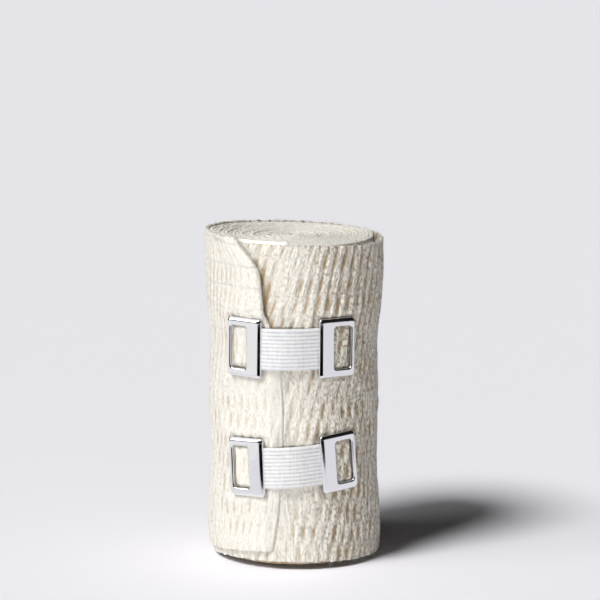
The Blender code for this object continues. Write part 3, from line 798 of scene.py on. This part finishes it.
def cloth_look(name, crest, valley_shade_colour, hole_share, pitch, stretch, slub, bump, roughness, sheen):
    """A woven material: crest colour on the ribs, painted shade in the valley colour between them, and
    darker painted shade in the holes between threads, with the threads as bump. The mesh says where
    the valleys with their painted shade lie and how strong the contrast is."""
    if name in bpy.data.materials:
        return bpy.data.materials[name]
    made = plain_material(name, {"Roughness": roughness, "Sheen Weight": sheen, "Sheen Roughness": 0.5,
                                 "Specular IOR Level": 0.2})
    tree = made.node_tree
    shader = tree.nodes["Principled BSDF"]
    place = node(tree, "UVMap", uv_map="cloth").outputs[0]
    weave = tree.nodes.new("ShaderNodeGroup")
    weave.node_tree = thread_group()
    tree.links.new(place, weave.inputs["Vector"])
    for title, value in (("Pitch", pitch), ("Stretch", stretch), ("Slub", slub)):
        weave.inputs[title].default_value = value
    # The valley attribute marks where shade is painted, and contrast says how strongly it shows.
    valley = node(tree, "Attribute", attribute_name="valley").outputs["Fac"]
    contrast = node(tree, "Attribute", attribute_name="contrast").outputs["Fac"]
    blotch = node(tree, "TexNoise", {"Vector": place, "Scale": 130.0, "Detail": 3.0}).outputs[0]
    patches = maths(tree, "MULTIPLY", maths(tree, "SUBTRACT", blotch, 0.5), 0.3)
    strands = maths(tree, "MULTIPLY", maths(tree, "SUBTRACT", 0.5, weave.outputs["Strands"]), 0.55)
    strands = maths(tree, "MULTIPLY", strands, contrast)
    # Painted shade: the valley colour is mixed in where the mesh marks a valley, shifted a little by random
    # patches and strands.
    deep = maths(tree, "ADD", maths(tree, "ADD", valley, patches), strands)
    deep = node(tree, "MapRange", {0: deep, 1: 0.08, 2: 1.05}, interpolation_type="SMOOTHSTEP").outputs[0]
    colour_with_painted_shade = node(tree, "Mix", {6: (*crest, 1), 7: (*valley_shade_colour, 1), 0: deep}, data_type="RGBA").outputs[2]
    # Painted shade in the holes between threads: half the valley colour.
    holes = maths(tree, "MULTIPLY", maths(tree, "MULTIPLY", weave.outputs["Holes"], hole_share), contrast)
    hole_shade_colour = [channel * 0.5 for channel in valley_shade_colour]
    colour_with_painted_shade = node(tree, "Mix", {6: colour_with_painted_shade, 7: (*hole_shade_colour, 1), 0: holes}, data_type="RGBA").outputs[2]
    tree.links.new(colour_with_painted_shade, shader.inputs["Base Color"])
    relief = node(tree, "Bump", {"Height": weave.outputs["Height"], "Distance": bump, "Strength": 1.0})
    tree.links.new(relief.outputs[0], shader.inputs["Normal"])
    return made


def crepe_material(cloth):
    return cloth_look("crepe", tuple(cloth.crest), tuple(cloth.hollow), 1.0, cloth.thread, 1.25, 0.9,
                      0.00036, 0.92, 0.15)


def fibre_material(cloth):
    colour = (*(min(channel * 1.2, 1.0) for channel in cloth.crest), 1)
    return plain_material("fibre", {"Base Color": colour, "Roughness": 0.8})


def inner_material(cloth):
    crest = tuple(min(channel * 1.18, 1.0) for channel in cloth.crest)
    return cloth_look("crepe inside", crest, tuple(cloth.hollow), 0.3, cloth.thread, 1.25, 0.9,
                      0.0002, 0.95, 0.2)


def elastic_material(clips):
    # The grey (0.42, 0.42, 0.44) is painted shade for the grooves between the elastic's ribs.
    return cloth_look("ribbed elastic", tuple(clips.elastic), (0.42, 0.42, 0.44), 0.14, KNIT_PITCH, 1.0, 0.3,
                      0.00012, 0.75, 0.1)


def metal_material(clips):
    """Bright plating: a metal whose gloss varies a little in soft patches, with faint ripples."""
    if "bright plating" in bpy.data.materials:
        return bpy.data.materials["bright plating"]
    made = plain_material("bright plating", {"Base Color": (*clips.metal, 1), "Metallic": 1.0})
    tree = made.node_tree
    shader = tree.nodes["Principled BSDF"]
    place = node(tree, "TexCoord").outputs["Object"]
    patches = node(tree, "TexNoise", {"Vector": place, "Scale": 260.0, "Detail": 4.0}).outputs[0]
    gloss = node(tree, "MapRange", {0: patches, 1: 0.3, 2: 0.7, 3: 0.08, 4: 0.17}).outputs[0]
    tree.links.new(gloss, shader.inputs["Roughness"])
    relief = node(tree, "Bump", {"Height": patches, "Distance": 0.00002, "Strength": 0.5})
    tree.links.new(relief.outputs[0], shader.inputs["Normal"])
    return made


class BANDAGE_OT_studio(Operator):
    """Lays the paper floor and sets the lights, the reflected cards and the camera"""

    bl_idname = "bandage.studio"
    bl_label = "Studio"

    def execute(self, context):
        stage = context.scene.bandage_stage
        scene = context.scene
        axis = strip_axis(scene.bandage_cloth)
        self.paper(stage)
        self.lights(stage, scene)
        camera = bpy.data.objects.new("camera", bpy.data.cameras.new("camera"))
        camera.data.lens = stage.lens
        camera.data.sensor_width = 36
        camera.location = (axis[0] + stage.sideways, axis[1] - stage.distance, stage.height)
        camera.rotation_euler = (math.pi / 2 - stage.pitch, 0, 0)
        scene.collection.objects.link(camera)
        scene.camera = camera
        return {"FINISHED"}

    def paper(self, stage):
        """A large flat sheet under the roll, without gloss."""
        reach = 8.0
        corners = np.array([(-reach, -reach, 0), (reach, -reach, 0), (reach, reach, 0), (-reach, reach, 0)])
        floor = new_mesh("paper_floor", corners, [(0, 1, 2, 3)])
        dull = {"Base Color": (*stage.floor, 1), "Roughness": 0.9, "Specular IOR Level": 0.0}
        floor.data.materials.append(plain_material("paper", dull))

    def card(self, name, corners, strength):
        """A flat card that only mirrors see, white if it has strength and black if not."""
        card = new_mesh(name, np.array(corners, float), [(0, 1, 2, 3)])
        glow = {"Base Color": (0, 0, 0, 1), "Roughness": 1.0, "Specular IOR Level": 0.0,
                "Emission Color": (1, 1, 1, 1), "Emission Strength": strength}
        card.data.materials.append(plain_material(name, glow))
        card.visible_camera = card.visible_diffuse = card.visible_shadow = False

    def sun(self, scene, name, strength, azimuth, elevation, width):
        """A far, soft light from an azimuth and an elevation, as wide as an angle, in degrees."""
        lamp = bpy.data.objects.new(name, bpy.data.lights.new(name, "SUN"))
        lamp.data.energy = strength
        lamp.data.angle = math.radians(width)
        lamp.rotation_euler = (math.radians(90 - elevation), 0, math.radians(azimuth))
        scene.collection.objects.link(lamp)

    def lights(self, stage, scene):
        self.sun(scene, "high_light", stage.key, -48, 52.5, 19)
        self.sun(scene, "left_light", stage.side, -74, 24, 20)
        strip = bpy.data.objects.new("low_front_light", bpy.data.lights.new("low_front_light", "AREA"))
        strip.data.shape = "RECTANGLE"
        strip.data.size = 0.7
        strip.data.size_y = 0.026
        strip.data.energy = stage.strip
        strip.location = (-0.08, -0.56, 0.016)
        strip.rotation_euler = (math.radians(93), 0, math.radians(-8))
        strip.visible_glossy = False
        scene.collection.objects.link(strip)
        high_left = ((-1.0, -0.55, 0.85), (-1.0, 0.75, 0.85), (-0.2, 0.75, 1.35), (-0.2, -0.55, 1.35))
        self.card("high_white_card", high_left, 1.0)
        low_left = ((-0.09, -0.02, 0.012), (-0.11, -0.11, 0.012), (-0.62, -0.62, 0.012), (-0.8, 0.0, 0.012))
        self.card("low_white_card", low_left, 0.92)
        low_front = ((-0.07, -0.09, 0.012), (0.07, -0.09, 0.012), (0.5, -0.7, 0.012), (-0.5, -0.7, 0.012))
        self.card("front_black_card", low_front, 0.0)
        world = bpy.data.worlds.new("dim studio")
        world.use_nodes = True
        sky = world.node_tree.nodes["Background"].inputs
        sky["Color"].default_value = (1.0, 0.99, 0.98, 1)
        sky["Strength"].default_value = 0.012
        scene.world = world
        scene.view_settings.view_transform = "Standard"


class BANDAGE_PT_panel(Panel):
    """Lists the bandage's builders and settings"""

    bl_idname = "BANDAGE_PT_panel"
    bl_label = "Support bandage"
    bl_space_type = "VIEW_3D"
    bl_region_type = "UI"
    bl_category = "Bandage"

    def draw(self, context):
        for operator in OPERATORS:
            self.layout.operator(operator.bl_idname)
        for name in SETTINGS:
            group = getattr(context.scene, name)
            box = self.layout.box()
            for title in group.bl_rna.properties.keys():
                if title not in ("rna_type", "name"):
                    box.prop(group, title)


SETTINGS = {
    "bandage_cloth": ClothSettings,
    "bandage_clips": ClipSettings,
    "bandage_stage": StageSettings,
}
OPERATORS = (
    BANDAGE_OT_wound_turns,
    BANDAGE_OT_outer_turn,
    BANDAGE_OT_loose_fibres,
    BANDAGE_OT_elastic_bands,
    BANDAGE_OT_end_plates,
    BANDAGE_OT_studio,
)


def register():
    for group in SETTINGS.values():
        bpy.utils.register_class(group)
    for name, group in SETTINGS.items():
        setattr(bpy.types.Scene, name, PointerProperty(type=group))
    for operator in (*OPERATORS, BANDAGE_PT_panel):
        bpy.utils.register_class(operator)


def unregister():
    for operator in (BANDAGE_PT_panel, *OPERATORS):
        bpy.utils.unregister_class(operator)
    for name in SETTINGS:
        delattr(bpy.types.Scene, name)
    for group in SETTINGS.values():
        bpy.utils.unregister_class(group)


def main():
    register()
    bpy.ops.bandage.wound_turns()
    bpy.ops.bandage.outer_turn()
    bpy.ops.bandage.loose_fibres()
    bpy.ops.bandage.elastic_bands()
    bpy.ops.bandage.end_plates()
    bpy.ops.bandage.studio()


if __name__ == "__main__":
    main()
